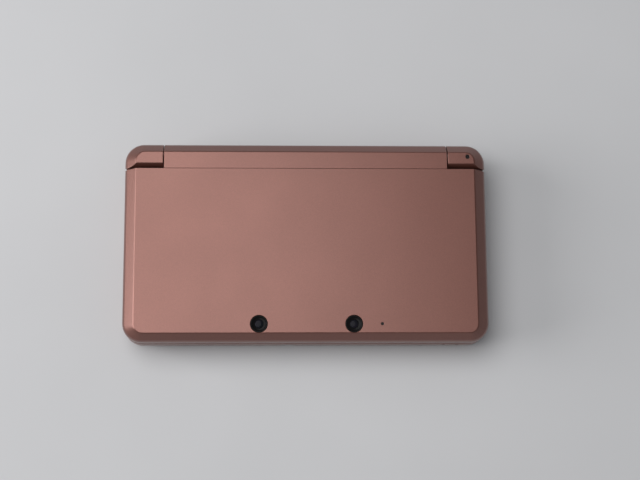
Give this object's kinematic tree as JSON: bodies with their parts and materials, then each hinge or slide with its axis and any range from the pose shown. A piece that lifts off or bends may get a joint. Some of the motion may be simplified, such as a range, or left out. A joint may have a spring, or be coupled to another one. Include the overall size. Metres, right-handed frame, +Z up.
{
  "type": "clamshell handheld game console",
  "caption": "Folding handheld game console with two screens in a friction-held clamshell, outer cameras, slide pad, direction cross, buttons, card slots and a telescopic stylus.",
  "frame": {"origin": "on the table under the middle of the closed console's bounding box", "axes": "+X along the hinge towards the player's right, +Y from the front edge towards the hinge, +Z up from the table"},
  "size_m": [0.134, 0.074, 0.021],
  "materials": {
    "pink_shell": "metallic dusty pink paint with a fine pearl, semi-gloss",
    "pink_keys": "metallic dusty pink, glossy",
    "dark_pink": "darker dusty pink, satin",
    "grey_rubber": "matt silicone rubber",
    "black_gloss": "piano black, polished",
    "black_matt": "moulded black, fine grain",
    "board_green": "solder-masked laminate",
    "screen_glass": "dark display window, polished",
    "bare_steel": "bare metal",
    "satin_grey": "satin silver-grey",
    "pad_grey": "soft-touch grey rose",
    "gold_contacts": "gold plated",
    "clear_plastic": "smoky light pipe",
    "amber_film": "amber polyimide film",
    "card_blue": "dark blue moulded card"
  },
  "bodies": {
    "base": {"base_tub": "pink_shell", "base_deck": "pink_shell", "inner_walls": "black_matt", "battery_cover": "dark_pink", "battery_pack": "black_matt", "rubber_feet": "grey_rubber", "main_board": "board_green", "touch_frame": "black_gloss", "touch_glass": "screen_glass", "lower_display": "bare_steel", "slide_pad_housing": "black_matt", "button_membranes": "grey_rubber", "card_slot": "black_matt", "memory_socket": "bare_steel", "power_inlet": "black_matt", "cradle_contacts": "gold_contacts", "infrared_window": "black_gloss", "headphone_jack": "black_matt", "light_pipes": "clear_plastic", "hinge_cap_left": "pink_shell", "hinge_cap_right": "pink_shell", "hinge_shaft": "bare_steel", "shoulder_pins": "bare_steel", "base_screws": "bare_steel"},
    "lid": {"lid_cover": "pink_shell", "lid_frame": "pink_shell", "display_bezel": "black_gloss", "display_lens": "screen_glass", "upper_display": "bare_steel", "speakers": "black_matt", "camera_board": "board_green", "camera_windows": "black_gloss", "inner_camera": "black_matt", "camera_light": "clear_plastic", "lid_bumpers": "grey_rubber", "screw_caps": "grey_rubber", "lid_screws": "bare_steel", "hinge_detent": "bare_steel", "display_flex": "amber_film"},
    "depth_slider_part": {"depth_slider": "satin_grey"},
    "slide_pad_carriage_part": {"slide_pad_carriage": "satin_grey"},
    "slide_pad_part": {"slide_pad": "pad_grey"},
    "cross_pivot_part": {"cross_pivot": "grey_rubber"},
    "direction_cross_part": {"direction_cross": "pink_keys"},
    "button_top_part": {"button_top": "pink_keys"},
    "button_bottom_part": {"button_bottom": "pink_keys"},
    "button_left_part": {"button_left": "pink_keys"},
    "button_right_part": {"button_right": "pink_keys"},
    "select_key_part": {"select_key": "dark_pink"},
    "home_key_part": {"home_key": "dark_pink"},
    "start_key_part": {"start_key": "dark_pink"},
    "power_button_part": {"power_button": "satin_grey"},
    "shoulder_left_part": {"shoulder_left": "dark_pink"},
    "shoulder_right_part": {"shoulder_right": "dark_pink"},
    "volume_slider_part": {"volume_slider": "dark_pink"},
    "wireless_switch_part": {"wireless_switch": "dark_pink"},
    "memory_cover_part": {"memory_cover": "pink_shell"},
    "memory_card_part": {"memory_card": "card_blue"},
    "stylus_shaft_part": {"stylus_shaft": "bare_steel"},
    "stylus_grip_part": {"stylus_grip": "dark_pink"}
  },
  "joints": [
    {"name": "lid_hinge", "type": "hinge", "parent": "base", "child": "lid", "pos_m": [0, 0.0326, 0.0174], "axis": [-1, 0, 0], "range_deg": [0, 155]},
    {"name": "depth_slide", "type": "slide", "parent": "lid", "child": "depth_slider_part", "axis": [0, 1, 0], "range_m": [-0.004, 0.004]},
    {"name": "pad_left_right", "type": "slide", "parent": "base", "child": "slide_pad_carriage_part", "axis": [1, 0, 0], "range_m": [-0.002, 0.002], "stiffness_N_per_m": 250},
    {"name": "pad_forward_back", "type": "slide", "parent": "slide_pad_carriage_part", "child": "slide_pad_part", "axis": [0, 1, 0], "range_m": [-0.002, 0.002], "stiffness_N_per_m": 250},
    {"name": "cross_rock_up_down", "type": "hinge", "parent": "base", "child": "cross_pivot_part", "pos_m": [-0.0485, -0.0175, 0.00862], "axis": [1, 0, 0], "range_deg": [-2.2, 2.2], "stiffness_Nm_per_rad": 0.15},
    {"name": "cross_rock_left_right", "type": "hinge", "parent": "cross_pivot_part", "child": "direction_cross_part", "pos_m": [-0.0485, -0.0175, 0.00862], "axis": [0, 1, 0], "range_deg": [-2.2, 2.2], "stiffness_Nm_per_rad": 0.15},
    {"name": "button_top_press", "type": "slide", "parent": "base", "child": "button_top_part", "axis": [0, 0, -1], "range_m": [0, 0.0005], "stiffness_N_per_m": 1200},
    {"name": "button_bottom_press", "type": "slide", "parent": "base", "child": "button_bottom_part", "axis": [0, 0, -1], "range_m": [0, 0.0005], "stiffness_N_per_m": 1200},
    {"name": "button_left_press", "type": "slide", "parent": "base", "child": "button_left_part", "axis": [0, 0, -1], "range_m": [0, 0.0005], "stiffness_N_per_m": 1200},
    {"name": "button_right_press", "type": "slide", "parent": "base", "child": "button_right_part", "axis": [0, 0, -1], "range_m": [0, 0.0005], "stiffness_N_per_m": 1200},
    {"name": "select_key_press", "type": "slide", "parent": "base", "child": "select_key_part", "axis": [0, 0, -1], "range_m": [0, 0.0003], "stiffness_N_per_m": 1500},
    {"name": "home_key_press", "type": "slide", "parent": "base", "child": "home_key_part", "axis": [0, 0, -1], "range_m": [0, 0.0003], "stiffness_N_per_m": 1500},
    {"name": "start_key_press", "type": "slide", "parent": "base", "child": "start_key_part", "axis": [0, 0, -1], "range_m": [0, 0.0003], "stiffness_N_per_m": 1500},
    {"name": "power_press", "type": "slide", "parent": "base", "child": "power_button_part", "axis": [0, 0, -1], "range_m": [0, 0.0003], "stiffness_N_per_m": 1500},
    {"name": "shoulder_left_press", "type": "hinge", "parent": "base", "child": "shoulder_left_part", "pos_m": [-0.0458, 0.033, 0.0064], "axis": [0, 0, 1], "range_deg": [0, 3.5], "stiffness_Nm_per_rad": 0.5},
    {"name": "shoulder_right_press", "type": "hinge", "parent": "base", "child": "shoulder_right_part", "pos_m": [0.0458, 0.033, 0.0064], "axis": [0, 0, -1], "range_deg": [0, 3.5], "stiffness_Nm_per_rad": 0.5},
    {"name": "volume_slide", "type": "slide", "parent": "base", "child": "volume_slider_part", "axis": [0, 1, 0], "range_m": [-0.004, 0.004]},
    {"name": "wireless_slide", "type": "slide", "parent": "base", "child": "wireless_switch_part", "axis": [0, 1, 0], "range_m": [0, 0.002], "stiffness_N_per_m": 250},
    {"name": "memory_cover_hinge", "type": "hinge", "parent": "base", "child": "memory_cover_part", "pos_m": [-0.06573, -0.0075, 0.00355], "axis": [0, -1, 0], "range_deg": [0, 100]},
    {"name": "memory_card_push", "type": "slide", "parent": "base", "child": "memory_card_part", "axis": [1, 0, 0], "range_m": [0, 0.0008], "stiffness_N_per_m": 800},
    {"name": "stylus_draw", "type": "slide", "parent": "base", "child": "stylus_shaft_part", "axis": [0, 1, 0], "range_m": [0, 0.066]},
    {"name": "stylus_extend", "type": "slide", "parent": "stylus_shaft_part", "child": "stylus_grip_part", "axis": [0, 1, 0], "range_m": [0, 0.015]}
  ]
}
